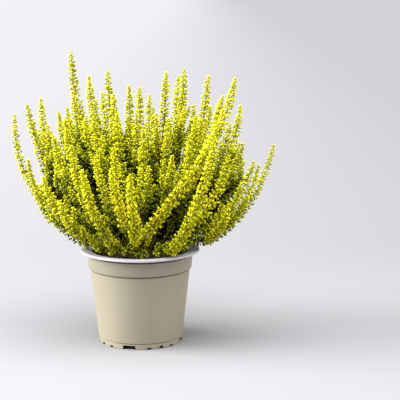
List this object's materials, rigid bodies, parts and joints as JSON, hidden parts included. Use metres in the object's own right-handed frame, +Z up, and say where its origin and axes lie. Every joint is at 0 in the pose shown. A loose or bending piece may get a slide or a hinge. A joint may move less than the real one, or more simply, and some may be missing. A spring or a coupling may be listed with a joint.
{
  "type": "potted heather",
  "caption": "Heather with lime-yellow scale-leaved shoots fanning up from peat in a round, gently tapered nursery pot with a flat lip and a notched foot.",
  "frame": {"origin": "centre of the pot's underside, on the surface that it stands on", "axes": "+Z up along the pot's axis, -Y towards the front, +X to the right seen from the front"},
  "size_m": [0.2614, 0.2243, 0.29],
  "materials": {
    "pot_plastic": "satin",
    "peat": "matte",
    "foliage": "matte"
  },
  "bodies": {
    "root": {"pot": "pot_plastic", "peat": "peat", "stem_01": "foliage", "stem_02": "foliage", "stem_03": "foliage", "stem_04": "foliage", "stem_05": "foliage", "stem_06": "foliage", "stem_07": "foliage", "stem_08": "foliage", "stem_09": "foliage", "stem_10": "foliage", "stem_11": "foliage", "stem_12": "foliage", "stem_13": "foliage", "stem_14": "foliage", "stem_15": "foliage", "stem_16": "foliage", "stem_17": "foliage", "stem_18": "foliage", "stem_19": "foliage", "stem_20": "foliage", "stem_21": "foliage", "stem_22": "foliage", "stem_23": "foliage", "stem_24": "foliage", "stem_25": "foliage", "stem_26": "foliage", "stem_27": "foliage", "stem_28": "foliage", "stem_29": "foliage", "stem_30": "foliage", "stem_31": "foliage", "stem_32": "foliage", "stem_33": "foliage", "stem_34": "foliage", "stem_35": "foliage"}
  },
  "joints": []
}
